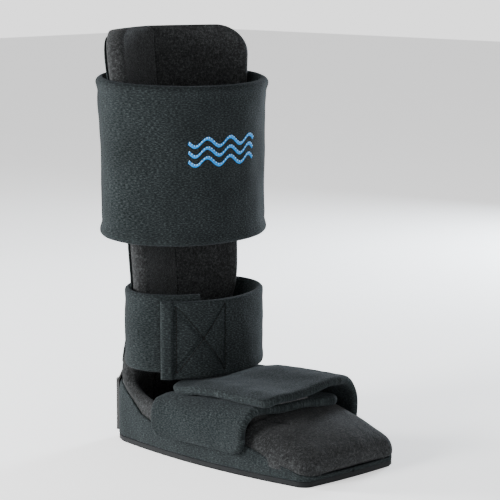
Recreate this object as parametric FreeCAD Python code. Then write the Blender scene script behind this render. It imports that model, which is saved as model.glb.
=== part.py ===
"""Posterior night splint: an ankle foot orthosis held at a right angle, in millimetres.

Frame: the toes point to -Y, the wearer's left is +X and +Z is up. The origin is on the outsole's bottom
face, under the middle of the leg. Near means the -X side and far means the +X side.
"""
import FreeCAD, Part
import math
import os

V = FreeCAD.Vector
os.makedirs("parts", exist_ok=True)

# ---- driving dimensions -------------------------------------------------------------------------
HEIGHT = 405.0  # sole to the top of the leg shell
HEEL_Y = 82.0  # back of the foot
TOE_Y = -194.0  # front of the toe cover
HEEL_HALF = 53.0  # half the foot's width at the heel
HEEL_R = 31.0  # radius of the heel's corners in plan
BALL_HALF = 68.0  # half the foot's width at the ball
TOE_HALF = 64.0
TOE_R = 12.0

LINER = 16.0  # fleece and foam of the leg shell
FRAME = 3.0  # plastic frame
COVER = 2.0  # outer fabric
FIT = 0.4  # gap between pieces that move apart

SOLE_TOP = 5.5
TRAY_TOP = 8.0  # top of the fabric under the frame's foot plate
PLATE_TOP = TRAY_TOP + FRAME
INSOLE_TOP = 20.0
FOOT_WALL = 12.0  # padded side walls of the foot
CORNER_R = 30.0  # rounded top corners of the leg wings

CUFF_LOW, CUFF_HIGH = 200.0, 352.0
CUFF_Y = 28.0
CUFF_WIDE, CUFF_DEEP = 95.5, 60.5  # half axes of the calf wrap's outside
CUFF_T = 7.5

ANKLE_LOW, ANKLE_HIGH = 80.0, 152.0
STRAP_T = 6.0

FLAP_T = 7.0
PATCH_T = 1.2  # hook tape
NEAR_FLAP = (-126.0, -6.0)  # front and back of the near foot flap
FAR_FLAP = (-156.0, -44.0)
NEAR_TOP = 64.0
FAR_TOP = 76.5

# The leg shell's inside at some heights: height, back seam, half width of the opening, its depth.
LEG = (
    (58.0, 62.0, 40.0, 12.0),
    (80.0, 52.0, 46.0, 9.0),
    (105.0, 41.0, 53.0, 13.0),
    (140.0, 35.0, 58.0, 21.0),
    (200.0, 40.0, 62.0, 27.0),
    (270.0, 50.0, 68.0, 33.0),
    (345.0, 61.0, 72.5, 39.0),
    (HEIGHT + 5.0, 67.0, 79.0, 42.0),
)


# ---- helpers ------------------------------------------------------------------------------------
def save(name, shape):
    """Write one node, and stop on a shape that isn't sound."""
    solids = shape.Solids
    assert solids and shape.isValid(), name
    out = solids[0] if len(solids) == 1 else Part.Compound(solids)
    out.exportStep("parts/%s.step" % name)
    box = out.BoundBox
    print("%-24s %2d solid  %7.1f cm3  x %6.1f %6.1f  y %6.1f %6.1f  z %6.1f %6.1f" % (
        name, len(solids), out.Volume / 1000, box.XMin, box.XMax, box.YMin, box.YMax, box.ZMin, box.ZMax))


def box(x0, x1, y0, y1, z0, z1):
    return Part.makeBox(x1 - x0, y1 - y0, z1 - z0, V(x0, y0, z0))


def spline(points):
    curve = Part.BSplineCurve()
    curve.interpolate(points)
    return curve.toShape()


def mirrored(shape):
    return shape.mirror(V(0, 0, 0), V(1, 0, 0))


def prism(points, direction):
    """A polygon's face pushed along a direction."""
    return Part.Face(Part.makePolygon(points + [points[0]])).extrude(direction)


# ---- leg shell ----------------------------------------------------------------------------------
def leg_point(section, t, offset):
    """A point at share t from the back seam to the wing's edge, offset outwards."""
    z, seam, half, deep = section
    x = half * t
    y = seam - deep * (t + t * t) / 2
    nx, ny = 1.5 * deep * t, half
    size = math.hypot(nx, ny)
    return V(x + offset * nx / size, y + offset * ny / size, z)


def leg_shell(t_end, inner, outer, round_edge=False):
    """Half the leg shell between two offsets, on the +X side, out to share t_end."""
    shares = [t_end * i / 6 for i in range(7)]
    wires = []
    for section in LEG:
        inside = [leg_point(section, t, inner) for t in shares]
        outside = [leg_point(section, t, outer) for t in reversed(shares)]
        edges = [spline(inside)]
        if round_edge:
            along = (inside[-1] - inside[-2]).normalize()
            tip = (inside[-1] + outside[0]) / 2 + along * (outer - inner) / 2
            edges.append(Part.Arc(inside[-1], tip, outside[0]).toShape())
        else:
            edges.append(Part.makeLine(inside[-1], outside[0]))
        edges += [spline(outside), Part.makeLine(outside[-1], inside[0])]
        wires.append(Part.Wire(edges))
    return Part.makeLoft(wires, True, False)


def crown():
    """The space under the leg shell's rounded top."""
    half = 96.0
    k = CORNER_R * (1 - math.sqrt(0.5))
    y = 90.0
    low = V(half, y, 50)
    side = V(half, y, HEIGHT - CORNER_R)
    flat = V(half - CORNER_R, y, HEIGHT)

    def flip(p):
        return V(-p.x, p.y, p.z)

    edges = [
        Part.makeLine(low, side),
        Part.Arc(side, V(half - k, y, HEIGHT - k), flat).toShape(),
        Part.makeLine(flat, flip(flat)),
        Part.Arc(flip(flat), V(k - half, y, HEIGHT - k), flip(side)).toShape(),
        Part.makeLine(flip(side), flip(low)),
        Part.makeLine(flip(low), low),
    ]
    return Part.Face(Part.Wire(edges)).extrude(V(0, -120, 0))


# ---- foot ---------------------------------------------------------------------------------------
def heel_point(degrees, out=0.0, z=0.0):
    """A point of the heel's corner, by its angle from straight out to the side."""
    turn = math.radians(degrees)
    radius = HEEL_R + out
    return V(HEEL_HALF - HEEL_R + radius * math.cos(turn), HEEL_Y - HEEL_R + radius * math.sin(turn), z)


def foot_outline(inset, z):
    """The foot's plan, inset from the outside, as a face at height z."""
    back = V(HEEL_HALF - HEEL_R, HEEL_Y, 0)
    heel_corner = heel_point(51)
    heel = heel_point(12)
    side = V(BALL_HALF, -62, 0)
    toe = V(TOE_HALF, TOE_Y + TOE_R, 0)
    corner = V(TOE_HALF - TOE_R * 0.293, TOE_Y + TOE_R * 0.293, 0)
    front = V(TOE_HALF - TOE_R, TOE_Y, 0)

    def flip(p):
        return V(-p.x, p.y, 0)

    edges = [
        Part.Arc(flip(back), V(0, HEEL_Y + 1, 0), back),
        Part.Arc(back, heel_corner, heel),
        Part.Arc(heel, side, toe),
        Part.Arc(toe, corner, front),
        Part.Arc(front, V(0, TOE_Y - 2, 0), flip(front)),
        Part.Arc(flip(front), flip(corner), flip(toe)),
        Part.Arc(flip(toe), flip(side), flip(heel)),
        Part.Arc(flip(heel), flip(heel_corner), flip(back)),
    ]
    wire = Part.Wire([e.toShape() for e in edges])
    if inset:
        wire = wire.makeOffset2D(-inset)
    face = Part.Face(wire)
    face.translate(V(0, 0, z))
    return face


def foot_block(inset, z0, z1):
    return foot_outline(inset, z0).extrude(V(0, 0, z1 - z0))


def side_space(points):
    """A side view outline, Y and Z, pushed right across the foot."""
    return prism([V(-100, y, z) for y, z in points], V(200, 0, 0))


def wall_space(drop):
    """The side view under the foot walls' rolled rim; drop lowers it for the outer cover."""
    return side_space([
        (100, 0), (100, 58), (50, 58), (44, 58 - drop / 2), (30, 50 - drop), (10, 46 - drop),
        (-20, 50 - drop), (-112, 50 - drop), (-112, TRAY_TOP), (TOE_Y - 3, TRAY_TOP), (TOE_Y - 3, 0)])


def arch(half_low, half_high, base, top, radius, y0, y1):
    """A bridge's outer space over the foot, from side to side, with round shoulders."""
    points = [V(-half_low, y0, base), V(-half_high, y0, top - radius), V(-half_high + radius, y0, top),
              V(half_high - radius, y0, top), V(half_high, y0, top - radius), V(half_low, y0, base)]
    k = radius * 0.293
    edges = [
        Part.makeLine(points[0], points[1]),
        Part.Arc(points[1], V(-half_high + k, y0, top - k), points[2]).toShape(),
        Part.makeLine(points[2], points[3]),
        Part.Arc(points[3], V(half_high - k, y0, top - k), points[4]).toShape(),
        Part.makeLine(points[4], points[5]),
        Part.makeLine(points[5], points[0]),
    ]
    return Part.Face(Part.Wire(edges)).extrude(V(0, y1 - y0, 0))


# ---- oval wraps ---------------------------------------------------------------------------------
def oval(cx, cy, wide, deep, z0, z1):
    """A standing oval block."""
    face = Part.Face(Part.Wire(Part.Ellipse(V(0, 0, 0), wide, deep).toShape()))
    face.translate(V(cx, cy, z0))
    return face.extrude(V(0, 0, z1 - z0))


def oval_band(cx, cy, wide, deep, thick, z0, z1):
    return oval(cx, cy, wide, deep, z0, z1).cut(oval(cx, cy, wide - thick, deep - thick, z0, z1))


# ---- frame --------------------------------------------------------------------------------------
FRAME_SHARE = 0.62  # how far the frame reaches from the seam towards each wing's edge
SLOT_Z = 105.0  # the frame passes out of the leg cover here and shows behind the heel
CUP_TOP = 59.0  # below this the frame cups the heel
CUP_TURN = 50.0  # where the cup ends on the heel's corner, in degrees from straight out to the side


def both_sides(half):
    return half.fuse(mirrored(half))


def frame_layer(inner, outer, z0, z1):
    """A stretch of the frame's upright, between two offsets from the leg shell's inside."""
    return both_sides(leg_shell(FRAME_SHARE, inner, outer)).common(box(-90, 90, 0, 110, z0, z1))


def cup_line(out, z):
    """The cup's plan at a height, from the back's middle round to its end on the +X side."""
    flat = [V(x, HEEL_Y + 1 + out, z) for x in (0.0, 8.0)]
    flat.append(V(HEEL_HALF - HEEL_R - 4, HEEL_Y + 0.4 + out, z))
    return flat + [heel_point(90 - (88 - CUP_TURN) * i / 4, out, z) for i in range(1, 5)]


def riser(leg_offset):
    """The frame between the heel cup and the leg; both its ends are buried a little in its neighbours."""
    section = next(row for row in LEG if row[0] >= SLOT_Z)
    skin = 0.6
    low = CUP_TOP - 3
    shares = [FRAME_SHARE * 0.97 * i / 6 for i in range(7)]
    wires = []
    for inner, outer in (
            (cup_line(FIT + skin, low), cup_line(FIT + FRAME - skin, low)),
            ([leg_point(section, t, leg_offset + skin) for t in shares],
             [leg_point(section, t, leg_offset + FRAME - skin) for t in shares])):
        inside = [V(-p.x, p.y, p.z) for p in reversed(inner[1:])] + inner
        outside = [V(-p.x, p.y, p.z) for p in reversed(outer[1:])] + outer
        outside.reverse()
        wires.append(Part.Wire([
            spline(inside), Part.makeLine(inside[-1], outside[0]),
            spline(outside), Part.makeLine(outside[-1], inside[0])]))
    return Part.makeLoft(wires, True, True)


def build_frame(top):
    outside = LINER + COVER + FIT
    cup_end = heel_point(CUP_TURN).x
    upright = frame_layer(LINER - FRAME, LINER, SLOT_Z, HEIGHT - 14).common(top)
    jog = frame_layer(LINER - FRAME, outside + FRAME, SLOT_Z - 3, SLOT_Z + 3)
    low = riser(outside)
    heel_zone = box(-cup_end, cup_end, 40, 110, TRAY_TOP, CUP_TOP + 0.5)
    heel = foot_block(-FIT - FRAME, TRAY_TOP, CUP_TOP + 0.5).cut(foot_block(-FIT, PLATE_TOP, 62)).common(heel_zone)
    plate = foot_block(18.0, TRAY_TOP, PLATE_TOP).common(box(-60, 60, -170, 60, 0, 20))
    return upright.fuse([jog, low, heel, plate]).removeSplitter()


# ---- build --------------------------------------------------------------------------------------
top = crown()
frame = build_frame(top)
save("l_frame", frame)

# Leg: two padded halves that meet at the back seam, and the outer fabric behind them.
leg_half = leg_shell(1.0, 0.0, LINER, True).common(top).cut(frame)
leg_half = leg_half.common(box(0, 100, 0, 100, 60, HEIGHT + 1))
cover_half = leg_shell(1.0, LINER, LINER + COVER).common(top).common(box(0, 100, 0, 100, 62, HEIGHT + 1))
cover_half = cover_half.cut(frame)
save("liner_leg_far", max(leg_half.Solids, key=lambda s: s.Volume))
save("liner_leg_near", mirrored(max(leg_half.Solids, key=lambda s: s.Volume)))
leg_cover = both_sides(cover_half).removeSplitter()
save("leg_cover", max(leg_cover.Solids, key=lambda s: s.Volume))

# Foot: rubber outsole with a grooved tread, fabric tray, padded walls, heel pad and insole.
outsole = foot_block(1.5, 0.0, 1.5).fuse(foot_block(0.0, 1.5, SOLE_TOP))
groove_count = 9
for i in range(groove_count):
    y = TOE_Y + 38 + i * 24.0
    outsole = outsole.cut(box(-38, 38, y, y + 5, -1, 1.2))
save("outsole", outsole)

foot_cover = foot_block(0.0, SOLE_TOP, 60.0).cut(foot_block(COVER, TRAY_TOP, 61.0))
foot_cover = foot_cover.common(wall_space(14)).cut(frame)
save("foot_cover", max(foot_cover.Solids, key=lambda s: s.Volume))

walls = foot_block(COVER, TRAY_TOP, 60.0).cut(foot_block(COVER + FOOT_WALL, TRAY_TOP - 1, 61.0))
walls = walls.common(wall_space(0)).cut([frame, leg_half, mirrored(leg_half)])
HEEL_SPLIT = 40.0
save("heel_pad", max(walls.common(box(-90, 90, HEEL_SPLIT, 100, 0, 70)).Solids, key=lambda s: s.Volume))
wall_far = walls.common(box(0, 90, -120, HEEL_SPLIT, 0, 70))
save("foot_wall_far", max(wall_far.Solids, key=lambda s: s.Volume))
save("foot_wall_near", mirrored(max(wall_far.Solids, key=lambda s: s.Volume)))

insole = foot_block(COVER + FOOT_WALL + 0.2, PLATE_TOP, INSOLE_TOP).cut(frame)
insole = insole.common(side_space([(90, 0), (90, 30), (-176, 30), (-176, 0)]))
save("insole_pad", insole)

# Toe cover: a wedge of fleece-covered foam over a toe pocket.
TOE_BACK = -112.2
wedge = side_space([(TOE_BACK, TRAY_TOP), (TOE_BACK, 50), (-128, 50), (-176, 36), (-190, 27),
                    (TOE_Y - 3, 17), (TOE_Y - 3, TRAY_TOP)])
pocket = side_space([(0, 0), (0, 38), (-128, 38), (-168, 28), (-176, INSOLE_TOP + 0.2), (-176, 0)])
toe_cover = foot_block(0.0, TRAY_TOP, 55.0).common(wedge)
toe_cover = toe_cover.cut([foot_block(COVER + FOOT_WALL, 0, 60).common(pocket), frame, foot_cover])
save("toe_cover", max(toe_cover.Solids, key=lambda s: s.Volume))

# Near foot flap: an anchored tab on the near wall, and the part that lifts over the foot.
FLAP_BASE = 22.0
HINGE_Z = 52.0
WALL_HALF = BALL_HALF + 3.0
FLAP_HALF = WALL_HALF + FLAP_T


def flap_arch(height, shoulder, y0, y1):
    """A bridge of flap fabric from wall to wall."""
    outer = arch(FLAP_HALF, FLAP_HALF, FLAP_BASE, height, shoulder, y0, y1)
    inner_shoulder = shoulder - FLAP_T + 1
    return outer.cut(arch(WALL_HALF, WALL_HALF, FLAP_BASE - 1, height - FLAP_T, inner_shoulder, y0 - 1, y1 + 1))


near_flap = flap_arch(NEAR_TOP, 20.0, *NEAR_FLAP).common(box(-100, 26, -200, 50, 0, 100))
ankle_room = [(-52, 0), (-52, -26), (-32, -44), (40, -44), (40, 0)]
near_flap = near_flap.cut(prism([V(x, y, 0) for x, y in ankle_room], V(0, 0, 100)))
save("near_flap_tab", near_flap.common(box(-100, 0, -200, 50, 0, HINGE_Z - FIT)))
near_lift = near_flap.common(box(-100, 26, -200, 50, HINGE_Z, 100))
save("foot_flap_near", near_lift)

# Far foot flap: the same on the far side, lapping over the near flap, with a hook patch under its end.
far_flap = flap_arch(FAR_TOP, 30.0, *FAR_FLAP).common(box(-58, 100, -200, 50, 0, 100))
save("far_flap_tab", far_flap.common(box(0, 100, -200, 50, 0, HINGE_Z - FIT)))
save("foot_flap_far", far_flap.common(box(-58, 100, -200, 50, HINGE_Z, 100)))
patch_top = FAR_TOP - FLAP_T
save("flap_hook_patch", box(-46, -8, -146, -54, patch_top - PATCH_T, patch_top))

# Wall patches: hook fabric that holds each flap's tab to the foot cover.
wall_zone = box(-100, 100, -104, -50, 26, 40)
wall_patch = foot_block(-PATCH_T, 20, 50).cut(foot_block(0.0, 19, 51)).common(wall_zone)
save("wall_hook_patch_far", wall_patch.common(box(0, 100, -200, 0, 0, 100)))
save("wall_hook_patch_near", wall_patch.common(box(-100, 0, -200, 0, 0, 100)))

# Calf wrap: the back part stays on the shell, the front part opens on the near side.
CUFF_HINGE_Y = 4.0
TAB_T = 3.4
TAB_START, TAB_END = -6.0, 40.0
HIDDEN_START = 6.0
wrap = oval_band(0, CUFF_Y, CUFF_WIDE, CUFF_DEEP, CUFF_T, CUFF_LOW, CUFF_HIGH)
inner_gap = TAB_T + FIT
under = oval_band(0, CUFF_Y, CUFF_WIDE - inner_gap, CUFF_DEEP - inner_gap, TAB_T, CUFF_LOW, CUFF_HIGH)
over = oval_band(0, CUFF_Y, CUFF_WIDE, CUFF_DEEP, TAB_T, CUFF_LOW, CUFF_HIGH)
near_back = wrap.common(box(-120, 0, CUFF_HINGE_Y + FIT, 120, 0, 500))
far_back = wrap.common(box(0, 120, TAB_END + 2, 120, 0, 500))
far_under = under.common(box(0, 120, HIDDEN_START, TAB_END + 2, 0, 500))
save("calf_wrap_back", near_back.fuse([far_back, far_under]).removeSplitter())
front = wrap.common(box(-120, 120, -120, CUFF_HINGE_Y - FIT, 0, 500))
save("calf_wrap_front", front.cut(box(0, 120, TAB_START, 60, 0, 500)))
tab = over.common(box(0, 120, TAB_START, TAB_END, CUFF_LOW, CUFF_HIGH))
hook = oval_band(0, CUFF_Y, CUFF_WIDE - TAB_T + PATCH_T, CUFF_DEEP - TAB_T + PATCH_T, PATCH_T, CUFF_LOW, CUFF_HIGH)
hook = hook.common(box(0, 120, HIDDEN_START + 6, TAB_END - 4, CUFF_LOW + 20, CUFF_HIGH - 20))
save("calf_hook_patch", hook)
save("calf_wrap_tab", tab.cut(hook))

# A plain wavy emblem stitched on the front of the calf wrap.
MOTIF_X, MOTIF_Z, MOTIF_HALF, MOTIF_LINES = -6.0, 295.0, 33.0, 3
proud = oval_band(0, CUFF_Y, CUFF_WIDE + 0.6, CUFF_DEEP + 0.6, 0.6, CUFF_LOW, CUFF_HIGH)
waves = []
for line in range(MOTIF_LINES):
    low, high = [], []
    for i in range(13):
        x = MOTIF_X + MOTIF_HALF * (i - 6) / 6
        z = MOTIF_Z + (line - 1) * 8 + 3.2 * math.sin(i * math.pi / 3)
        low.append(V(x, -60, z - 1.3))
        high.append(V(x, -60, z + 1.3))
    high.reverse()
    ring = Part.Wire([spline(low), Part.makeLine(low[-1], high[0]), spline(high), Part.makeLine(high[-1], low[0])])
    waves.append(Part.Face(ring).extrude(V(0, 70, 0)).common(proud))
motif = waves[0].fuse(waves[1:])
save("calf_emblem", motif)

# Ankle strap: the near section stays on the shell; the far section opens and carries the hook tab.
ANKLE_HINGE = (79.6, 7.0)
INNER_OVAL = (0.0, 13.0, 79.0, 47.0)
OUTER_OVAL = (-3.3, 11.0, 82.5, 53.0)
shell = both_sides(leg_shell(1.0, 0.0, LINER + COVER, True))


def strap_band(oval_sizes, out, thick):
    cx, cy, wide, deep = oval_sizes
    return oval_band(cx, cy, wide + out, deep + out, thick, ANKLE_LOW, ANKLE_HIGH)


inner_band = strap_band(INNER_OVAL, 0, STRAP_T).cut(box(-30, 120, -60, ANKLE_HINGE[1] + 1, 0, 200))
inner_band = inner_band.cut([shell, frame])
save("ankle_strap_back", max(inner_band.Solids, key=lambda s: s.Volume))

TAB_Y = -19.0
outer_keep = box(-30, 120, -80, ANKLE_HINGE[1] - 1, 0, 200).fuse(box(-120, -30, -80, TAB_Y, 0, 200))
save("ankle_strap", strap_band(OUTER_OVAL, 0, STRAP_T).common(outer_keep))
fold = strap_band(OUTER_OVAL, 3.0, 3.0).common(box(-120, -64, -80, TAB_Y, ANKLE_LOW, ANKLE_HIGH))
save("ankle_tab_fold", fold)
ankle_hook = strap_band(OUTER_OVAL, -STRAP_T, PATCH_T)
save("ankle_hook_patch", ankle_hook.common(box(-56, -34, -80, 0, ANKLE_LOW + 8, ANKLE_HIGH - 8)))

# Thread: a boxed cross sewn through the strap's end, here two uprights and two diagonals.
face_mid = V(-39.0, -37.0, 0)
normal = V(-0.31, -0.95, 0)
across = V(0.95, -0.31, 0)
SEW_HALF, SEW_LOW, SEW_HIGH, THREAD = 25.0, ANKLE_LOW + 5, ANKLE_HIGH - 5, 1.0
thread_band = strap_band(OUTER_OVAL, 0.5, 0.5)


def thread(u0, z0, u1, z1):
    """One sewn line between two points of the strap's face."""
    along = V(u1 - u0, z1 - z0, 0).normalize()
    du, dz = -along.y * THREAD / 2, along.x * THREAD / 2
    corners = [(u0 + du, z0 + dz), (u1 + du, z1 + dz), (u1 - du, z1 - dz), (u0 - du, z0 - dz)]
    base = [face_mid + across * u - normal * 20 + V(0, 0, z) for u, z in corners]
    return prism(base, normal * 50).common(thread_band)


sewn = thread(-SEW_HALF, SEW_LOW, -SEW_HALF, SEW_HIGH).fuse([
    thread(SEW_HALF, SEW_LOW, SEW_HALF, SEW_HIGH),
    thread(-SEW_HALF, SEW_LOW, SEW_HALF, SEW_HIGH),
    thread(-SEW_HALF, SEW_HIGH, SEW_HALF, SEW_LOW)])
save("ankle_stitching", sewn)
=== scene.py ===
"""Looks of the ankle foot orthosis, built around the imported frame. Lengths are in millimetres until
a mesh is made; MM turns them into the frame's metres. Toes point to -Y and the wearer's left is +X."""
import math

import bpy
import numpy as np
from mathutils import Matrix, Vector, noise
from mathutils.bvhtree import BVHTree


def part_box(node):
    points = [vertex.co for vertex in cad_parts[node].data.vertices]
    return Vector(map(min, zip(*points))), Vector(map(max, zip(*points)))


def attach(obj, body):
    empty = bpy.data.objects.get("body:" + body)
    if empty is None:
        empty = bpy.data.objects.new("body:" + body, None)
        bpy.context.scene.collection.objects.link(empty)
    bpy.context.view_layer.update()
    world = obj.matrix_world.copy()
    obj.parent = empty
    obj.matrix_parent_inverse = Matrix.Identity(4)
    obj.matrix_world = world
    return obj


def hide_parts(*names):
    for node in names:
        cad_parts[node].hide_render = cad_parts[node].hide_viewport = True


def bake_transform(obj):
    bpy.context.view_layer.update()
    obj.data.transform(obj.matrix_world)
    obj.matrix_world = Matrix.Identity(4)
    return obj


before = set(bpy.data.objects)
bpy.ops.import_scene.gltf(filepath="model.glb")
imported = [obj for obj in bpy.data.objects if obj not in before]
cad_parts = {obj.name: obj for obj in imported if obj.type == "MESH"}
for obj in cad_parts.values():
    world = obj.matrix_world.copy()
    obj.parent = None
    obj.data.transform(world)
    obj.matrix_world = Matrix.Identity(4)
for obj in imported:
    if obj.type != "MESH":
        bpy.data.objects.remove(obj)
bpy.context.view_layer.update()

MM = 0.001

# ---- sizes shared with the frame ----------------------------------------------------------------
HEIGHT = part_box("liner_leg_far")[1][2] / MM
HEEL_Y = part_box("outsole")[1][1] / MM - 1
TOE_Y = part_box("outsole")[0][1] / MM + 2
CUFF_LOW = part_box("calf_wrap_front")[0][2] / MM
CUFF_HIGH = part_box("calf_wrap_front")[1][2] / MM
CUFF_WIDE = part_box("calf_wrap_tab")[1][0] / MM
CUFF_DEEP = 60.5
CUFF_Y = 28.0
ANKLE_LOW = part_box("ankle_strap")[0][2] / MM
ANKLE_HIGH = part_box("ankle_strap")[1][2] / MM
HEEL_HALF, HEEL_R, HEEL_END = 53.0, 31.0, math.radians(12)
BALL_HALF, BALL_Y = 68.0, -62.0
TOE_HALF, TOE_R = 64.0, 12.0
LEG_PAD, LEG_MIDDLE = 16.0, 8.0  # the leg's padding: its thickness, and its middle's offset from the inside
FOOT_PAD, FOOT_MIDDLE = 12.0, 10.0  # the same for the foot's padding
LEG_SKIN, LEG_SKIN_MIDDLE = 2.2, 17.5  # the same for the leg's cover
FOOT_SKIN, FOOT_SKIN_MIDDLE = 2.6, 17.0  # the same for the foot's cover
COVER_OUT = 18.0  # the outer fabric's outside, as an offset from the leg liner's inside
ANKLE_TURN = (44.0, 82.0)  # between these heights the leg's trough turns into the foot's plan

# The leg shell's inside: height, back seam, half width of the opening, its depth.
LEG = (
    (40.0, 66.0, 34.0, 12.0),
    (58.0, 62.0, 40.0, 12.0),
    (80.0, 52.0, 46.0, 9.0),
    (105.0, 41.0, 53.0, 13.0),
    (140.0, 35.0, 58.0, 21.0),
    (200.0, 40.0, 62.0, 27.0),
    (270.0, 50.0, 68.0, 33.0),
    (345.0, 61.0, 72.5, 39.0),
    (HEIGHT + 5.0, 67.0, 79.0, 42.0),
)


# ---- curves -------------------------------------------------------------------------------------
def smooth_table(rows):
    """A smooth curve through rows of (x, values...), as a function of x."""
    table = np.array(rows, float)
    xs, values = table[:, 0], table[:, 1:]
    slopes = np.gradient(values, xs, axis=0)

    def at(x):
        x = np.clip(np.asarray(x, float), xs[0], xs[-1])
        i = np.clip(np.searchsorted(xs, x) - 1, 0, len(xs) - 2)
        width = xs[i + 1] - xs[i]
        t = ((x - xs[i]) / width)[..., None]
        width = width[..., None]
        a, b = values[i], values[i + 1]
        ta, tb = slopes[i] * width, slopes[i + 1] * width
        return (a * (2 * t**3 - 3 * t**2 + 1) + ta * (t**3 - 2 * t**2 + t)
                + b * (3 * t**2 - 2 * t**3) + tb * (t**3 - t**2))

    return at


def through(points):
    """The points as a smooth path: a function of share 0 to 1 along it."""
    points = np.array(points, float)
    steps = np.r_[0, np.cumsum(np.linalg.norm(np.diff(points, axis=0), axis=1))]
    return smooth_table(np.c_[steps / steps[-1], points])


def step(x, low, high):
    """A smooth rise from 0 at low to 1 at high."""
    t = np.clip((np.asarray(x, float) - low) / (high - low), 0, 1)
    return t * t * (3 - 2 * t)


def spread(count, ease=0.75):
    """Shares from 0 to 1, closer together at both ends."""
    t = np.linspace(0, 1, count)
    return (1 - ease) * t + ease * (0.5 - 0.5 * np.cos(math.pi * t))


leg_at = smooth_table(LEG)


def leg_length(z):
    """The straight distance from the leg shell's back seam to the edge of its opening."""
    _, half, deep = np.moveaxis(leg_at(z), -1, 0)
    return np.hypot(half, deep)


def leg_plan(s, z, offset):
    """A point of the leg shell, s from the back seam, offset outwards from its inside."""
    seam, half, deep = np.moveaxis(leg_at(z), -1, 0)
    t = s / np.hypot(half, deep)
    nx, ny = 1.5 * deep * t, half
    size = np.hypot(nx, ny)
    return half * t + offset * nx / size, seam - deep * (t + t * t) / 2 + offset * ny / size


def foot_line():
    """The foot's plan inset by COVER_OUT, from the heel's back to the toe's middle: points, normals."""
    turn = np.linspace(math.pi / 2, HEEL_END, 30)
    flat = HEEL_HALF - HEEL_R
    across = np.linspace(0, flat, 12)[:-1]
    back = np.c_[across, HEEL_Y + 1 - (across / flat) ** 2]
    heel = np.r_[back, np.c_[flat + HEEL_R * np.cos(turn), HEEL_Y - HEEL_R + HEEL_R * np.sin(turn)]]
    ball = np.array([BALL_HALF, BALL_Y])
    toe = np.array([TOE_HALF, TOE_Y + TOE_R])
    a, b, c = heel[-1], ball, toe
    m = 2 * np.array([b - a, c - a])
    centre = np.linalg.solve(m, [b @ b - a @ a, c @ c - a @ a])
    radius = np.linalg.norm(a - centre)
    first, last = (math.atan2(*(p - centre)[::-1]) for p in (a, c))
    turn = np.linspace(first, last, 60)[1:]
    side = centre + radius * np.c_[np.cos(turn), np.sin(turn)]
    turn = np.linspace(0, -math.pi / 2, 16)[1:]
    corner = np.array([TOE_HALF - TOE_R, TOE_Y + TOE_R]) + TOE_R * np.c_[np.cos(turn), np.sin(turn)]
    across = np.linspace(corner[-1][0], 0, 10)[1:]
    front = np.c_[across, TOE_Y - 2 * (1 - (across / (TOE_HALF - TOE_R)) ** 2)]
    line = np.r_[heel, side, corner, front]
    along = np.gradient(line, axis=0)
    normal = np.c_[-along[:, 1], along[:, 0]]
    normal /= np.linalg.norm(normal, axis=1)[:, None]
    return line, normal


FOOT_OUT, FOOT_NORMAL = foot_line()
FOOT_IN = FOOT_OUT - FOOT_NORMAL * COVER_OUT
FOOT_S = np.r_[0, np.cumsum(np.linalg.norm(np.diff(FOOT_IN, axis=0), axis=1))]
FOOT_SIDE = slice(0, 98)  # the line's points from the heel to just short of the toe's corner


def foot_plan(s, offset):
    """A point of the foot's plan, s along its inset line and offset outwards from it."""
    x, y, nx, ny = (np.interp(s, FOOT_S, v) for v in (*FOOT_IN.T, *FOOT_NORMAL.T))
    return x + nx * offset, y + ny * offset


def foot_s(y):
    """How far along the inset plan the side reaches a given y."""
    return float(np.interp(-y, -FOOT_IN[FOOT_SIDE, 1], FOOT_S[FOOT_SIDE]))


def shell(s, z, offset):
    """A point of the liner: the leg's open trough, turning into the foot's plan below the ankle."""
    s, z = np.broadcast_arrays(np.asarray(s, float), np.asarray(z, float))
    lx, ly = leg_plan(s, z, offset)
    fx, fy = foot_plan(s, offset)
    k = step(z, *ANKLE_TURN)
    return np.stack([lx * k + fx * (1 - k), ly * k + fy * (1 - k), z], -1)


# ---- meshes -------------------------------------------------------------------------------------
ROUGH_SEED = Vector((13.7, 4.1, 9.3))


def lumps(points, size, depth):
    """Soft unevenness: a smooth noise of that size and depth at each point."""
    flat = points.reshape(-1, 3) / size
    values = [noise.noise(Vector(p) + ROUGH_SEED) for p in flat]
    return depth * np.array(values).reshape(points.shape[:-1])


def make_mesh(name, points, faces, uvs, material):
    """A smooth shaded mesh object from points and UVs in millimetres."""
    mesh = bpy.data.meshes.new(name)
    mesh.from_pydata((np.asarray(points) * MM).tolist(), [], faces)
    layer = mesh.uv_layers.new(name="UVMap")
    uv = np.asarray(uvs, float) * MM
    loops = np.empty(len(mesh.loops), np.int32)
    mesh.loops.foreach_get("vertex_index", loops)
    layer.data.foreach_set("uv", uv[loops].ravel())
    mesh.materials.append(material)
    mesh.polygons.foreach_set("use_smooth", [True] * len(mesh.polygons))
    mesh.update()
    piece = bpy.data.objects.new(name, mesh)
    bpy.context.scene.collection.objects.link(piece)
    return piece


def grid_lengths(middle):
    """Distances along both ways of a grid of points."""
    du = np.linalg.norm(np.diff(middle, axis=0), axis=2)
    dv = np.linalg.norm(np.diff(middle, axis=1), axis=2)
    u = np.concatenate([np.zeros((1, middle.shape[1])), np.cumsum(du, 0)])
    v = np.concatenate([np.zeros((middle.shape[0], 1)), np.cumsum(dv, 1)], 1)
    return u, v


def round_off(distance, radius):
    """Share of full thickness at a distance from a rounded edge."""
    t = 1 - np.clip(distance / max(radius, 1e-3), 0, 1)
    return np.sqrt(np.maximum(0.0, 1 - t * t))


def normals_of(middle, hint):
    """Unit normals of a grid of points, pointing away from the hint."""
    n = np.cross(np.gradient(middle, axis=0), np.gradient(middle, axis=1))
    n /= np.maximum(np.linalg.norm(n, axis=2), 1e-9)[..., None]
    if np.sum(n * (middle - np.array(hint))) < 0:
        n = -n
    return n


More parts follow.
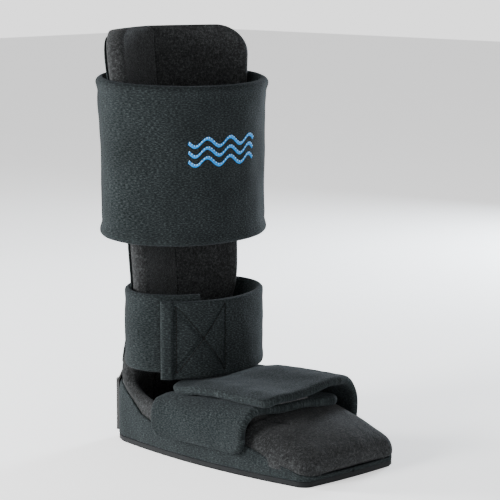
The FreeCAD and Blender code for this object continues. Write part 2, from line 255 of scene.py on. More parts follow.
def pad(name, middle, thick, radii, hint, material, rough=(), front=None, back=None):
    """A padded sheet about a grid of middle points. radii rounds its edges: first row, last row, first
    column, last column. rough lists (size, depth) of its unevenness; front and back add to each side."""
    normal = normals_of(middle, hint)
    u, v = grid_lengths(middle)
    share = round_off(u, radii[0]) * round_off(u[-1:] - u, radii[1])
    share = share * round_off(v, radii[2]) * round_off(v[:, -1:] - v, radii[3])
    half = np.asarray(thick) / 2 * share
    rise = sum((lumps(middle, size, depth) for size, depth in rough), np.zeros(u.shape)) * share
    shift = normal * rise[..., None]
    outside = middle + normal * (half + (front * share if front is not None else 0))[..., None] + shift
    inside = middle - normal * (half + (back * share if back is not None else 0))[..., None] + shift
    rows, cols = u.shape
    index = np.arange(rows * cols).reshape(rows, cols)
    under = index.copy()
    under[1:-1, 1:-1] = rows * cols + np.arange((rows - 2) * (cols - 2)).reshape(rows - 2, cols - 2)
    points = np.concatenate([outside.reshape(-1, 3), inside[1:-1, 1:-1].reshape(-1, 3)])
    uv = np.stack([u, v], -1)
    uvs = np.concatenate([uv.reshape(-1, 2), uv[1:-1, 1:-1].reshape(-1, 2)])
    faces = []
    for i in range(rows - 1):
        for j in range(cols - 1):
            a, b, c, d = index[i, j], index[i + 1, j], index[i + 1, j + 1], index[i, j + 1]
            faces.append((int(a), int(b), int(c), int(d)))
            a, b, c, d = under[i, j], under[i + 1, j], under[i + 1, j + 1], under[i, j + 1]
            faces.append((int(d), int(c), int(b), int(a)))
    piece = make_mesh(name, points, faces, uvs, material)
    i, j = rows // 2, cols // 2
    turn = np.cross(middle[i + 1, j] - middle[i, j], middle[i, j + 1] - middle[i, j])
    if turn @ normal[i, j] < 0:
        piece.data.flip_normals()
    return piece


def surface_of(piece):
    """A function that drops a point in millimetres onto a piece, and gives the place and its normal."""
    mesh = piece.data
    tree = BVHTree.FromPolygons([v.co for v in mesh.vertices], [tuple(p.vertices) for p in mesh.polygons])

    def drop(point):
        place, normal, _, _ = tree.find_nearest(Vector(point) * MM)
        return np.array(place) / MM, np.array(normal)

    return drop


STITCH_RINGS = ((0.0, 0.4), (0.18, 1.0), (0.82, 1.0), (1.0, 0.4))  # share along a stitch, share of its radius
STITCH_SIDES = 7


def stitches(name, runs, radius, material):
    """Short rounded threads: runs lists (start, end, surface normal) of each."""
    points, faces, uvs = [], [], []
    sides = STITCH_SIDES
    for start, end, normal in runs:
        along = (end - start) / np.linalg.norm(end - start)
        across = np.cross(along, normal)
        across /= np.linalg.norm(across)
        up = np.cross(across, along)
        base = len(points)
        for share, width in STITCH_RINGS:
            for k in range(sides):
                turn = 2 * math.pi * k / sides
                ring = across * math.cos(turn) + up * math.sin(turn)
                points.append(start + (end - start) * share + ring * radius * width)
                uvs.append((k, share * 3))
        for row in range(len(STITCH_RINGS) - 1):
            for k in range(sides):
                a, b = base + row * sides + k, base + row * sides + (k + 1) % sides
                faces.append((a, b, b + sides, a + sides))
        faces.append(tuple(base + k for k in reversed(range(sides))))
        last = base + (len(STITCH_RINGS) - 1) * sides
        faces.append(tuple(last + k for k in range(sides)))
    return make_mesh(name, points, faces, uvs, material)


def mirrored(points):
    """The same points on the near side."""
    return points * np.array([-1.0, 1.0, 1.0])


# ---- materials ----------------------------------------------------------------------------------
class Nodes:
    """A material's node tree, with short calls for the nodes that the fabrics use."""

    def __init__(self, name, coords="UV"):
        self.material = bpy.data.materials.new(name)
        self.material.use_nodes = True
        self.tree = self.material.node_tree
        self.shader = self.tree.nodes["Principled BSDF"]
        source = self.tree.nodes.new("ShaderNodeTexCoord")
        self.coords = source.outputs[coords]

    def add(self, kind, inputs=(), **settings):
        node = self.tree.nodes.new(kind)
        for key, value in settings.items():
            setattr(node, key, value)
        for key, value in dict(inputs).items():
            if isinstance(value, bpy.types.NodeSocket):
                self.tree.links.new(value, node.inputs[key])
            else:
                node.inputs[key].default_value = value
        return node

    def noise(self, scale, detail=2.0, rough=0.5, stretch=None):
        vector = self.coords
        if stretch:
            vector = self.add("ShaderNodeMapping", {"Vector": vector, "Scale": stretch}).outputs[0]
        inputs = {"Vector": vector, "Scale": scale, "Detail": detail, "Roughness": rough}
        return self.add("ShaderNodeTexNoise", inputs).outputs[0]

    def cells(self, scale):
        inputs = {"Vector": self.coords, "Scale": scale}
        return self.add("ShaderNodeTexVoronoi", inputs).outputs["Distance"]

    def ramp(self, value, stops):
        node = self.add("ShaderNodeValToRGB", {"Fac": value})
        ramp = node.color_ramp
        while len(ramp.elements) < len(stops):
            ramp.elements.new(0.5)
        for element, (position, colour) in zip(ramp.elements, stops):
            element.position = position
            element.color = (*colour, 1.0)
        return node.outputs[0]

    def math(self, operation, a, b):
        return self.add("ShaderNodeMath", {0: a, 1: b}, operation=operation).outputs[0]

    def mix(self, share, a, b, blend="MIX"):
        node = self.add("ShaderNodeMix", data_type="RGBA", blend_type=blend)
        for key, value in ((0, share), (6, a), (7, b)):
            if isinstance(value, bpy.types.NodeSocket):
                self.tree.links.new(value, node.inputs[key])
            else:
                node.inputs[key].default_value = value
        return node.outputs[2]

    def bump(self, height, strength, distance, after=None):
        inputs = {"Height": height, "Strength": strength, "Distance": distance}
        if after is not None:
            inputs["Normal"] = after
        return self.add("ShaderNodeBump", inputs).outputs[0]

    def finish(self, colour, roughness, normal=None, sheen=0.0, sheen_rough=0.5, sheen_tint=(1, 1, 1),
               specular=0.3):
        put = self.shader.inputs
        for key, value in (("Base Color", colour), ("Roughness", roughness)):
            if isinstance(value, bpy.types.NodeSocket):
                self.tree.links.new(value, put[key])
            else:
                put[key].default_value = value
        if normal is not None:
            self.tree.links.new(normal, put["Normal"])
        put["Sheen Weight"].default_value = sheen
        put["Sheen Roughness"].default_value = sheen_rough
        put["Sheen Tint"].default_value = (*sheen_tint, 1.0)
        put["Specular IOR Level"].default_value = specular
        return self.material


def fleece_material():
    """Fuzzy charcoal fleece: short matted pile with lighter fibre tips."""
    n = Nodes("fleece", "Object")
    pile = n.noise(900, 5, 0.75)
    tufts = n.noise(420, 3, 0.6)
    patches = n.noise(70, 2, 0.5)
    speckle = n.math("MULTIPLY", n.math("ADD", pile, n.math("MULTIPLY", tufts, 0.6)), 0.63)
    colour = n.ramp(speckle, [(0.36, (0.0020, 0.0022, 0.0023)), (0.5, (0.0108, 0.0114, 0.0117)),
                              (0.64, (0.038, 0.040, 0.041))])
    shade = n.ramp(patches, [(0.3, (0.9, 0.9, 0.9)), (0.7, (1.1, 1.1, 1.1))])
    colour = n.mix(1.0, colour, shade, "MULTIPLY")
    normal = n.bump(tufts, 0.6, 0.0013)
    normal = n.bump(pile, 0.85, 0.0009, normal)
    return n.finish(colour, 0.95, normal, sheen=0.05, sheen_rough=0.6, sheen_tint=(0.8, 0.82, 0.85),
                    specular=0.06)


def loop_material(name, base, tips):
    """Brushed loop fabric: a dense fine nap with faint rows."""
    n = Nodes(name)
    nap = n.noise(1500, 4, 0.7)
    rows = n.noise(1100, 2, 0.5, (1.0, 0.35, 1.0))
    patches = n.noise(28, 3, 0.55)
    weave = n.math("MULTIPLY", n.math("ADD", nap, rows), 0.5)
    colour = n.ramp(weave, [(0.38, tuple(v * 0.45 for v in base)), (0.5, base), (0.62, tips)])
    shade = n.ramp(patches, [(0.3, (0.82, 0.82, 0.82)), (0.7, (1.14, 1.14, 1.14))])
    colour = n.mix(1.0, colour, shade, "MULTIPLY")
    normal = n.bump(patches, 0.25, 0.002)
    normal = n.bump(weave, 0.8, 0.0006, normal)
    return n.finish(colour, 0.9, normal, sheen=0.025, sheen_rough=0.5, sheen_tint=(0.80, 0.90, 1.0),
                    specular=0.03)


def rubber_material():
    """Dull black sole rubber with a fine grain and a little dust."""
    n = Nodes("sole_rubber", "Object")
    grain = n.noise(1200, 3, 0.6)
    dust = n.noise(60, 4, 0.6)
    colour = n.ramp(dust, [(0.3, (0.0035, 0.0040, 0.0045)), (0.75, (0.0085, 0.0092, 0.0100))])
    roughness = n.ramp(dust, [(0.3, (0.5, 0.5, 0.5)), (0.7, (0.68, 0.68, 0.68))])
    return n.finish(colour, roughness, n.bump(grain, 0.35, 0.0003), specular=0.08)


def plastic_material():
    """Glossy black moulded plastic with slight wear."""
    n = Nodes("frame_plastic", "Object")
    wear = n.noise(90, 5, 0.7)
    grain = n.noise(700, 2, 0.5)
    colour = n.ramp(wear, [(0.35, (0.0018, 0.0018, 0.0020)), (0.75, (0.0045, 0.0045, 0.0050))])
    roughness = n.ramp(wear, [(0.3, (0.22, 0.22, 0.22)), (0.7, (0.38, 0.38, 0.38))])
    return n.finish(colour, roughness, n.bump(grain, 0.08, 0.0002), specular=0.35)


def hook_material():
    """Hook tape: a field of tiny stiff hooks."""
    n = Nodes("hook_tape", "Object")
    hooks = n.cells(900)
    colour = n.ramp(hooks, [(0.1, (0.022, 0.022, 0.024)), (0.6, (0.004, 0.004, 0.005))])
    return n.finish(colour, 0.55, n.bump(hooks, 0.9, 0.0008), specular=0.35)


def thread_material(name, dark, light):
    """Twisted sewing thread."""
    n = Nodes(name)
    strands = n.noise(1600, 3, 0.6, (1.0, 4.0, 1.0))
    colour = n.ramp(strands, [(0.35, dark), (0.65, light)])
    return n.finish(colour, 0.7, n.bump(strands, 0.5, 0.0003), specular=0.1)


FLEECE = fleece_material()
LOOP = loop_material("loop_fabric", (0.0092, 0.0116, 0.0121), (0.028, 0.0335, 0.0345))
RUBBER = rubber_material()
PLASTIC = plastic_material()
HOOK = hook_material()
BLACK_THREAD = thread_material("black_thread", (0.0008, 0.0008, 0.0008), (0.0025, 0.0025, 0.0025))
BLUE_THREAD = thread_material("blue_thread", (0.004, 0.115, 0.42), (0.012, 0.27, 0.66))
# pale thread for the painted highlights on the blue satin stitch
PAINTED_HIGHLIGHT_THREAD = thread_material("painted_highlight_thread", (0.22, 0.50, 0.68), (0.55, 0.75, 0.82))


def settle(piece, body, replaces=()):
    """Hangs a piece from the body it rides on, or, when body is a tuple, only bakes its place; hides the
    nodes it stands for.
    """
    if isinstance(body, str):
        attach(piece, body)
    else:
        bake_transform(piece)
    if replaces:
        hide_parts(*replaces)
    return piece


# ---- leg and foot liner -------------------------------------------------------------------------
INSIDE_LEG = (0, -120, 200)  # a place inside the leg's trough, which the padding's outside turns away from
WING_R = 30.0
WALL_FRONT_Y = -112  # the foot's padded walls end here
S_FRONT = foot_s(WALL_FRONT_Y)
WING_LOW = 107  # the leg's wing runs down to here before its rim turns round the heel


def wing_edge(z):
    """How far the padded wing reaches from the back seam."""
    return leg_length(z) + 1.5 + 6.5 * step(z, 200, 330)


def fullness(s, z):
    """The shell's extra fullness outwards: at its back corners below the calf, and near its top."""
    corner = np.exp(-((np.abs(s) - 50) / 13) ** 2)
    return 4.0 * corner * (1 - step(z, 200, 300)) * step(z, 50, 80) + 2.6 * step(z, 320, 372)


def wing_rows():
    """Rows of the leg half down to the ankle, each as s and z of its inner end and of its free edge."""
    rows = []
    for turn in np.linspace(0, math.pi / 2, 14):
        z = HEIGHT - WING_R * (1 - math.cos(turn))
        rows.append((0, z, wing_edge(z) - WING_R * (1 - math.sin(turn)), z))
    for z in np.linspace(HEIGHT - WING_R, WING_LOW, 60)[1:]:
        rows.append((0, z, wing_edge(z), z))
    return rows


def rim_rows():
    """Rows that turn from the leg's wing round the heel to the foot's side wall."""
    path = through([
        (0, 104, 55.7, 104),
        (0, 84, 51, 91),
        (0, 60, 48.5, 80),
        (0, 36, 48.5, 69),
        (2, 14, 53, 60),
        (18, 12, 64, 52),
        (44, 12, 80, 47),
        (80, 12, 102, 46),
        (130, 12, 138, 49),
        (S_FRONT, 12, S_FRONT, 50),
    ])
    return [tuple(path(t)) for t in np.linspace(0, 1, 84)]


def build_liner():
    """The padded fleece halves: the leg's wing and the foot's wall in one piece on each side."""
    rows = np.array(wing_rows() + rim_rows())
    t = spread(34)[None, :]
    s = rows[:, 0:1] + (rows[:, 2:3] - rows[:, 0:1]) * t
    z = rows[:, 1:2] + (rows[:, 3:4] - rows[:, 1:2]) * t
    leg = step(z, *ANKLE_TURN)
    middle = shell(s, z, LEG_MIDDLE * leg + FOOT_MIDDLE * (1 - leg))
    thick = LEG_PAD * leg + FOOT_PAD * (1 - leg)
    full = fullness(s, z)
    for side, grid in (("far", middle), ("near", mirrored(middle))):
        pile = lumps(grid, 24, 1.2) + lumps(grid, 7, 0.5) - 0.3
        piece = pad("liner_" + side, grid, thick, (8, 4, 2.6, 8), INSIDE_LEG, FLEECE, front=full, back=pile)
        nodes = ["liner_leg_" + side, "foot_wall_" + side]
        if side == "far":
            nodes.append("heel_pad")
        settle(piece, "root", nodes)


def both_sides(s, z, offset):
    """The shell on either side of the back seam: negative s is the near side."""
    points = shell(np.abs(s), z, offset)
    points[..., 0] *= np.where(s < 0, -1, 1)
    return points


SKIN_TOP = 7  # the leg's cover ends this far below the padding's top
SKIN_EDGE = 5  # and this far inside the padding's free edge
SKIN_TURN, SKIN_LOW = 80, 60  # below the first height it narrows, and it ends at the second
SKIN_NARROWS = 0.55  # by this share of the way down
FOOT_SKIN_LOW = 5.5


def build_covers():
    """The outer fabric: one sheet on the leg shell and one round the foot."""
    rows = []
    corner = WING_R - SKIN_TOP
    for turn in np.linspace(0, math.pi / 2, 10):
        z = HEIGHT - SKIN_TOP - corner * (1 - math.cos(turn))
        rows.append((wing_edge(z) - SKIN_EDGE - corner * (1 - math.sin(turn)), z))
    for z in np.linspace(HEIGHT - WING_R, SKIN_TURN + 2, 70)[1:]:
        rows.append((wing_edge(z) - SKIN_EDGE, z))
    for z in np.linspace(SKIN_TURN, SKIN_LOW, 6):
        rows.append((float(wing_edge(z)) - SKIN_EDGE - (SKIN_TURN - z) * SKIN_NARROWS, z))
    rows = np.array(rows)
    s = rows[:, :1] * np.linspace(-1, 1, 57)[None, :]
    z = np.broadcast_to(rows[:, 1:], s.shape)
    middle = both_sides(s, z, LEG_SKIN_MIDDLE + fullness(s, z))
    piece = pad("leg_skin", middle, LEG_SKIN, (1.1, 1.1, 1.1, 1.1), INSIDE_LEG, LOOP, ((40, 0.3),))
    settle(piece, "root", ["leg_cover"])

    s = np.linspace(-FOOT_S[-1], FOOT_S[-1], 241)[None, :]
    along = np.abs(s)
    top = np.interp(along, [0, 40, 56, 70, 90, 110, S_FRONT, S_FRONT + 40, S_FRONT + 80, FOOT_S[-1]],
                    [66, 58, 44, 34, 29, 29, 33, 22, 9.5, 9.5])
    z = FOOT_SKIN_LOW + (top - FOOT_SKIN_LOW) * spread(20, 0.5)[:, None]
    middle = both_sides(np.broadcast_to(s, z.shape), z, FOOT_SKIN_MIDDLE)
    piece = pad("foot_skin", middle, FOOT_SKIN, (1.2, 1.3, 0.1, 0.1), (0, -50, 20), LOOP, ((30, 0.4),))
    settle(piece, "root", ["foot_cover"])


# ---- insole and toe cover -----------------------------------------------------------------------
def half_width(y, offset):
    """Half the foot's width at y, for a plan that much outside the inset plan."""
    x, along = foot_plan(FOOT_S, offset)
    order = np.argsort(along)
    return np.interp(y, along[order], x[order])


INSOLE_FRONT, INSOLE_HEEL_GAP = -176, 15
INSOLE_THICK, INSOLE_Z, INSOLE_IN = 9.0, 15.5, 14.6  # thickness, middle height, inset from the cover


def build_insole():
    """The fleece pad under the foot, slightly dished."""
    y = INSOLE_FRONT + (-INSOLE_FRONT + HEEL_Y - INSOLE_HEEL_GAP) * spread(60, 0.85)[:, None]
    wide = half_width(y, COVER_OUT - INSOLE_IN)
    x = wide * (2 * spread(31, 0.7)[None, :] - 1)
    z = INSOLE_Z + 1.2 * (x / 60) ** 2
    middle = np.stack([x, np.broadcast_to(y, x.shape), z], -1)
    piece = pad("insole", middle, INSOLE_THICK, (4, 4, 4, 4), (0, 0, -200), FLEECE, ((30, 0.8),))
    settle(piece, "root", ["insole_pad"])


TOE_BACK = -112.0
TOE_INSET, TOE_BASE = 5.0, 7.5  # half the toe cover's thickness, and the height of its middle at the sole
# The toe cover's profile from the side: y and height.
TOE_SIDE = ((-95, 54), (-112, 53), (-132, 49), (-155, 44), (-176, 38), (-190, 32), (-200, 26))


def build_toe_cover():
    """A fleece wedge that slopes down to the toes, crowned across, over a toe pocket."""
    ahead = spread(60, 0.6) * math.pi / 2
    front = TOE_Y - 1.0 + TOE_INSET
    y = TOE_BACK + (front - TOE_BACK) * np.sin(ahead) ** 0.62
    drop = np.cos(ahead) ** 0.30
    wide = half_width(np.maximum(y, front + 0.4), COVER_OUT - TOE_INSET)
    turn = (2 * spread(72, 0.1) - 1) * math.pi / 2
    out = np.sign(turn) * np.abs(np.sin(turn)) ** 0.45
    rise = np.cos(turn) ** 0.42
    x = wide[:, None] * out
    y = y[:, None] + 0 * x
    top = np.interp(-y, [-v[0] for v in TOE_SIDE], [v[1] for v in TOE_SIDE])
    crown = 3.5 * np.exp(-((x - 8) / 36) ** 2)
    pleat = 2.4 * np.exp(-((x + 34 + 0.5 * (y + 128)) / 3.0) ** 2) * step(y, -158, -136)
    lean = 1 + 0.07 * x / TOE_HALF
    z = TOE_BASE + (top + crown - pleat - TOE_BASE - TOE_INSET) * lean * rise * drop[:, None]
    piece = pad("toe_box", np.stack([x, y, z], -1), 2 * TOE_INSET, (3, 2, 2, 2), (0, -150, -60), FLEECE,
                ((24, 1.6), (8, 0.6)))
    settle(piece, "root", ["toe_cover"])


# ---- foot flaps ---------------------------------------------------------------------------------
def arch_path(half, base, top, shoulder, reach, lean=0.0):
    """A flap's middle line from its tab's bottom at +half, up, over and across to x = reach."""
    turn = np.linspace(0, math.pi / 2, 14)
    corner = np.c_[half - shoulder + shoulder * np.cos(turn), top - shoulder + shoulder * np.sin(turn)]
    side = np.c_[np.full(12, half), np.linspace(base, top - shoulder, 13)[:-1]]
    across = np.linspace(half - shoulder, reach, 20)[1:]
    over = np.c_[across, top + lean * (half - shoulder - across)]
    return np.r_[side, corner, over]


def even(path, count, ease=0.5):
    """The path's points respaced by its length, and how far along it each of them is."""
    steps = np.r_[0, np.cumsum(np.linalg.norm(np.diff(path, axis=0), axis=1))]
    at = spread(count, ease) * steps[-1]
    return np.c_[tuple(np.interp(at, steps, path[:, k]) for k in range(path.shape[1]))], at


def rounded_ends(at, length, radius):
    """How far a strap's side edges draw in near its two rounded ends."""
    near_end = np.clip(1 - at / radius, 0, 1)
    far_end = np.clip(1 - (length - at) / radius, 0, 1)
    return radius * (2 - np.sqrt(1 - near_end ** 2) - np.sqrt(1 - far_end ** 2))


FLAP_SIDE, FLAP_LOW = 74.6, 22  # a flap's upright part: its distance from the middle, and its bottom
FLAP_THICK, FLAP_EDGE = 8.4, (4.2, 4.2, 4.2, 4.2)
# Where each flap's bend begins and ends, in metres.
NEAR_BEND = ((-0.078, 0, 0.040), (-0.074, 0, 0.062))
FAR_BEND = ((0.078, 0, 0.040), (0.074, 0, 0.062))


def flap_grid(path, at, radius, back, front):
    """x, y and z of a flap: back and front give the y of its two edges by the length along its path."""
    draw = rounded_ends(at, at[-1], radius)
    back = np.interp(at, *back) - draw
    front = np.interp(at, *front) + draw
    y = back[:, None] + (front - back)[:, None] * spread(46, 0.6)[None, :]
    return np.broadcast_to(path[:, :1], y.shape), y, np.broadcast_to(path[:, 1:], y.shape)


def build_flaps():
    # The near flap runs from the near wall over the instep and under the far flap.
    path, at = even(arch_path(FLAP_SIDE, FLAP_LOW, 60.5, 19, -34), 96)
    back = ([0, 34, 46, 58, 96, at[-1]], [-7, -7, -18, -40, -68, -70])
    front = ([0, 30, 60, 110, at[-1]], [-128, -129, -134, -148, -153])
    x, y, z = flap_grid(path, at, 13, back, front)
    x = -x
    z = z + 1.0 * step(x, -60, 10) * step(-y, 110, 150)
    piece = pad("near_flap", np.stack([x, y, z], -1), FLAP_THICK, FLAP_EDGE, (0, -70, 10), LOOP,
                ((34, 2.0), (12, 0.7)))
    settle(piece, ("root", "near_flap", *NEAR_BEND), ["near_flap_tab", "foot_flap_near"])

    # The far flap comes from the far wall, crowns over the instep and lies on the near flap.
    path, at = even(arch_path(FLAP_SIDE, FLAP_LOW, 74.5, 30, -65, -0.01), 104)
    back = ([0, 55, 80, at[-1] - 40, at[-1]], [-36, -34, -21, -20, -21])
    front = ([0, 45, 75, 110, at[-1]], [-132, -137, -146, -151, -149])
    x, y, z = flap_grid(path, at, 8, back, front)
    crown = np.exp(-((x - 26) / 26) ** 2) * step(-y, 44, 90)
    sag = np.exp(-((x + 18) / 22) ** 2) * step(y, -150, -90)
    z = z + 3.5 * crown - 0.4 * sag
    z = z - 4.0 * step(-x, 46, 72) - 3.2 * step(y, -58, -34)
    piece = pad("far_flap", np.stack([x, y, z], -1), FLAP_THICK, FLAP_EDGE, (0, -90, 10), LOOP,
                ((34, 1.5), (12, 0.5)))
    settle(piece, ("root", "far_flap", *FAR_BEND), ["far_flap_tab", "foot_flap_far"])


# ---- calf wrap ----------------------------------------------------------------------------------
WRAP_SHIFT = 3.0  # the soft wrap sits a little to the far side
INSIDE_WRAP = (0, CUFF_Y, 270)  # a place inside it, which its outside turns away from


def wrap_grid(start, end, rows, cols, inward, low=0.0, high=0.0):
    """The calf wrap's middle surface between two turns about its oval, in degrees from the far side."""
    turn = np.radians(start + (end - start) * spread(cols, 0.5))[None, :]
    up = spread(rows, 0.75)[:, None]
    wide, deep = CUFF_WIDE - inward, CUFF_DEEP - inward
    x, y = wide * np.cos(turn), CUFF_Y + deep * np.sin(turn)
    tilt = 0.10 * (y - (CUFF_Y - CUFF_DEEP))
    z = CUFF_LOW + low + (CUFF_HIGH - CUFF_LOW - low - high) * up + tilt
    flare = 0.966 + 0.032 * up + 0.012 * (2 * up - 1) ** 2
    return np.stack([WRAP_SHIFT + x * flare, CUFF_Y + (y - CUFF_Y) * flare, z + 0 * x], -1)


def rolled_rims(grid, proud):
    """Extra height on a wrap's outside: rolled rims with a shallow groove beside them."""
    _, v = grid_lengths(np.swapaxes(grid, 0, 1))
    v = v.T
    edge = np.minimum(v, v[-1:] - v)
    return proud * np.exp(-((edge - 5) / 4.5) ** 2) - 0.35 * proud * np.exp(-((edge - 13.5) / 3.5) ** 2)


def build_calf_wrap():
    """The wrap's back part, which stays, and its front part, which goes round the leg and laps over it."""
    fuzz = ((60, 2.0), (20, 0.7))
    grid = wrap_grid(89.8, -24, 44, 70, 5.0)
    rims = rolled_rims(grid, 0.4)
    piece = pad("calf_wrap_under", grid, 6.0, (3, 3, 3, 2.5), INSIDE_WRAP, LOOP, fuzz, rims)
    settle(piece, "root", ["calf_wrap_back"])
    cols = 190
    grid = wrap_grid(90.2, 372, 54, cols, 3.2)
    taper = 3.4 + 4.4 * (1 - step(np.arange(cols) / (cols - 1), 0.82, 0.90))[None, :]
    thick = np.broadcast_to(taper, grid.shape[:2])
    rims = rolled_rims(grid, 1.3)
    piece = pad("calf_wrap", grid, thick, (4, 4, 2, 2), INSIDE_WRAP, LOOP, fuzz, rims)
    turn = Vector((0.256, -0.967, 0))
    settle(piece, ("root", "calf_flap", turn * -0.045, turn * -0.018),
           ["calf_wrap_front", "calf_wrap_tab"])
    build_emblem(surface_of(piece))


MOTIF_X, MOTIF_Z, MOTIF_HALF, MOTIF_RISE, MOTIF_PITCH = -1.5, 290.0, 45.0, 3.8, 9.0
MOTIF_STEPS = 45  # satin stitches on each side of the middle
MOTIF_WAVE = 15  # half a wave's length
MOTIF_REACH = 1.6  # half a satin stitch's height


def build_emblem(drop):
    """Three plain waves in satin stitch on the front of the calf wrap, each dotted with short pale stitches
    that are painted highlights on the satin.
    """
    bright, pale = [], []
    for line in (-1, 0, 1):
        for i in range(2 * MOTIF_STEPS + 1):
            x = MOTIF_X + MOTIF_HALF * (i - MOTIF_STEPS) / MOTIF_STEPS
            z = MOTIF_Z + line * MOTIF_PITCH + MOTIF_RISE * math.sin((x - MOTIF_X) * math.pi / MOTIF_WAVE)
            place, normal = drop((x, CUFF_Y - CUFF_DEEP - 4, z))
            slant = np.array((0.35, 0, 1.0))
            bright.append((place - slant * MOTIF_REACH, place + slant * MOTIF_REACH, normal))
            # every third satin stitch gets a short pale stitch on top: a painted highlight
            if i % 3 == 0:
                lift = place + normal * 0.4
                pale.append((lift + slant * 0.3, lift + slant * 1.5, normal))
    piece = stitches("emblem_blue", bright, 0.62, BLUE_THREAD)
    settle(piece, "calf_flap", ["calf_emblem"])
    settle(stitches("emblem_painted_highlights", pale, 0.42, PAINTED_HIGHLIGHT_THREAD), "calf_flap")


# ---- ankle strap --------------------------------------------------------------------------------
# The strap's ovals: middle x and y, half width, half depth.
INNER_OVAL = (0.0, 13.0, 79.0, 47.0)
OUTER_OVAL = (-3.3, 11.0, 82.5, 53.0)
# Places inside the ovals, which the strap's outside turns away from.
INSIDE_INNER = (0, 13, 110)
INSIDE_OUTER = (0, 11, 110)
# Where the strap's bend begins and ends, in metres.
STRAP_BEND = ((0.079, 0.018, 0), (0.079, -0.004, 0))


def strap_grid(oval, start, end, rows, cols, inward, tilt=0.07, ease=0.5, lift=0.0):
    """A strap's middle surface between two turns about its oval, in degrees from the far side."""
    cx, cy, wide, deep = oval
    turn = np.radians(start + (end - start) * spread(cols, ease))[None, :]
    up = spread(rows, 0.75)[:, None]
    x, y = cx + (wide - inward) * np.cos(turn), cy + (deep - inward) * np.sin(turn)
    z = ANKLE_LOW - 5.5 + lift + (ANKLE_HIGH - ANKLE_LOW + 3) * up + tilt * (y + 42)
    return np.stack([x + 0 * up, y + 0 * up, z], -1)


def build_ankle_strap():
    """The strap's near section, which stays, and the far one, which goes round the ankle and laps over it."""
    fuzz = ((40, 1.0), (14, 0.4))
    grid = strap_grid(INNER_OVAL, 128, 246, 34, 80, 3.0, lift=4.5)
    rims = rolled_rims(grid, 0.4)
    piece = pad("ankle_strap_near", grid, 6.4, (3, 3, 3, 2.5), INSIDE_INNER, LOOP, fuzz, rims)
    settle(piece, "root", ["ankle_strap_back"])
    grid = strap_grid(OUTER_OVAL, 392, 213, 60, 260, 3.0)
    front = rolled_rims(grid, 0.5) - 1.5 * np.exp(-(sewn_distance(grid) / 1.5) ** 2)
    piece = pad("ankle_strap_over", grid, 6.4, (3, 3, 3, 3), INSIDE_OUTER, LOOP, fuzz, front)
    settle(piece, ("root", "ankle_flap", *STRAP_BEND), ["ankle_strap"])
    build_strap_end(surface_of(piece))


# The sewn cross on the strap's end, between two sewn lines: its corners by x along the strap and by height.
SEWN_X, SEWN_Z = (-62.0, -11.5), (82.0, 146.0)
STITCH_PITCH = 3.1
SEWN_LINES = tuple(
    ((SEWN_X[a], SEWN_Z[b]), (SEWN_X[c], SEWN_Z[d]))
    for a, b, c, d in ((0, 0, 0, 1), (1, 0, 1, 1), (0, 0, 1, 1), (0, 1, 1, 0)))


def sewn_distance(grid):
    """How far each point of the strap is from the nearest sewn line, in its own x and height."""
    flat = np.stack([grid[..., 0], grid[..., 2]], -1)
    nearest = np.full(flat.shape[:2], 1e3)
    for start, end in SEWN_LINES:
        start, end = np.array(start), np.array(end)
        along = end - start
        t = np.clip((flat - start) @ along / (along @ along), 0, 1)
        nearest = np.minimum(nearest, np.linalg.norm(flat - start - t[..., None] * along, axis=-1))
    return np.where(grid[..., 1] < 0, nearest, 1e3)


def build_strap_end(drop):
    """The rolled fold at the strap's end, and the black thread that holds it."""
    grid = strap_grid(OUTER_OVAL, 222.5, 212, 44, 16, 0.6, ease=0.8)
    piece = pad("strap_fold", grid, 7.6, (3.6, 3.6, 3.6, 3.8), INSIDE_OUTER, LOOP, ((14, 0.5),))
    settle(piece, "ankle_flap", ["ankle_tab_fold"])
    cx, cy, wide, deep = OUTER_OVAL
    runs = []
    for start, end in SEWN_LINES:
        start, end = np.array(start), np.array(end)
        count = int(np.linalg.norm(end - start) / STITCH_PITCH)
        for i in range(count):
            pair = []
            for share in ((i + 0.1) / count, (i + 0.9) / count):
                x, z = start + (end - start) * share
                y = cy - deep * math.sqrt(1 - ((x - cx) / wide) ** 2) - 1
                place, normal = drop((x, y, z))
                pair.append(place + normal * 0.1)
            runs.append((*pair, normal))
    piece = stitches("strap_thread", runs, 0.55, BLACK_THREAD)
    settle(piece, "ankle_flap", ["ankle_stitching"])


def finish_node(name, material):
    """A kept CAD node gets its finish."""
    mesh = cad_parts[name].data
    mesh.materials.clear()
    mesh.materials.append(material)


build_liner()
build_covers()
build_insole()
build_toe_cover()
build_flaps()
build_calf_wrap()
build_ankle_strap()
finish_node("outsole", RUBBER)
finish_node("l_frame", PLASTIC)
for patch in ("wall_hook_patch_far", "wall_hook_patch_near", "flap_hook_patch", "calf_hook_patch",
              "ankle_hook_patch"):
    finish_node(patch, HOOK)


# ---- camera, floor and light --------------------------------------------------------------------
def aim(thing, target):
    """Turns a camera or a lamp to look at the target."""
    direction = Vector(target) - thing.location
    thing.rotation_euler = direction.to_track_quat("-Z", "Y").to_euler()


def build_camera():
    target = Vector((0.0366, -0.0286, 0.190))
    azimuth, distance, height = math.radians(-46), 2.100, 0.505
    camera = bpy.data.objects.new("camera", bpy.data.cameras.new("camera"))
    side, back = distance * math.sin(azimuth), distance * math.cos(azimuth)
    camera.location = (target.x + side, target.y - back, height)
    camera.data.sensor_width = 36
    camera.data.angle = math.radians(13.04)
    aim(camera, target)
    bpy.context.scene.collection.objects.link(camera)
    bpy.context.scene.camera = camera


def area_light(name, place, target, size, watts, colour):
    light = bpy.data.lights.new(name, "AREA")
    light.shape = "DISK"
    light.size = size
    light.energy = watts
    light.color = colour
    lamp = bpy.data.objects.new(name, light)
    lamp.location = place
    aim(lamp, target)
    bpy.context.scene.collection.objects.link(lamp)


FLOOR_HALF = 6.0
LIGHT_TARGET = (0, 0, 0.2)
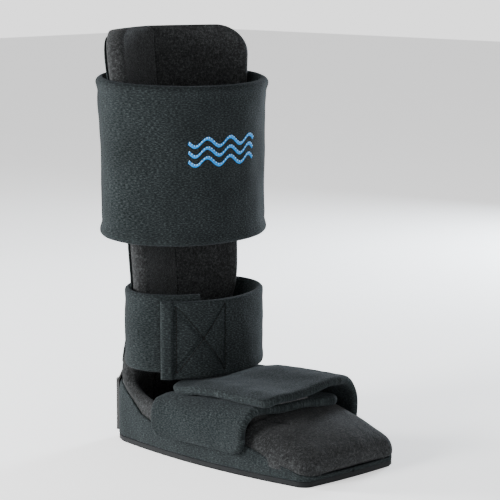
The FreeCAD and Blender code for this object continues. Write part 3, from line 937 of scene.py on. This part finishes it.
# Each lamp's name, place, size, watts and colour.
LIGHTS = (
    ("key", (-1.9, 0.25, 0.65), 0.7, 78, (1.0, 1.0, 0.99)),
    ("front", (-0.9, -2.3, 0.6), 1.3, 20, (0.97, 0.99, 1.0)),
    ("rim_left", (-0.9, 1.6, 0.5), 0.5, 70, (0.98, 0.99, 1.0)),
    ("rim_right", (1.7, 0.3, 0.5), 0.5, 52, (0.84, 0.92, 1.0)),
)


def build_stage():
    """The pale floor, which glows so that it stays nearly white, the sky and the lamps."""
    mesh = bpy.data.meshes.new("floor")
    half = FLOOR_HALF
    corners = [(-half, -half, 0), (half, -half, 0), (half, half, 0), (-half, half, 0)]
    mesh.from_pydata(corners, [], [(0, 1, 2, 3)])
    n = Nodes("floor", "Object")
    grain = n.noise(3, 2, 0.5)
    n.finish(n.ramp(grain, [(0.3, (0.90, 0.90, 0.90)), (0.7, (0.93, 0.93, 0.93))]), 0.85, specular=0.1)
    n.shader.inputs["Emission Color"].default_value = (1.0, 1.0, 1.0, 1.0)
    n.shader.inputs["Emission Strength"].default_value = 0.8
    mesh.materials.append(n.material)
    floor = bpy.data.objects.new("floor", mesh)
    bpy.context.scene.collection.objects.link(floor)
    build_world()
    for name, place, size, watts, colour in LIGHTS:
        area_light(name, place, LIGHT_TARGET, size, watts, colour)


def build_world():
    """A studio sky: bright at the horizon and dimmer overhead."""
    world = bpy.data.worlds.new("studio")
    world.use_nodes = True
    tree = world.node_tree
    coords = tree.nodes.new("ShaderNodeTexCoord")
    height = tree.nodes.new("ShaderNodeSeparateXYZ")
    ramp = tree.nodes.new("ShaderNodeValToRGB")
    ramp.color_ramp.elements[0].position = 0.12
    ramp.color_ramp.elements[0].color = (1.9, 1.9, 1.9, 1.0)
    ramp.color_ramp.elements[1].position = 0.6
    ramp.color_ramp.elements[1].color = (0.10, 0.10, 0.105, 1.0)
    tree.links.new(coords.outputs["Generated"], height.inputs[0])
    tree.links.new(height.outputs["Z"], ramp.inputs["Fac"])
    tree.links.new(ramp.outputs["Color"], tree.nodes["Background"].inputs["Color"])
    bpy.context.scene.world = world


build_camera()
build_stage()
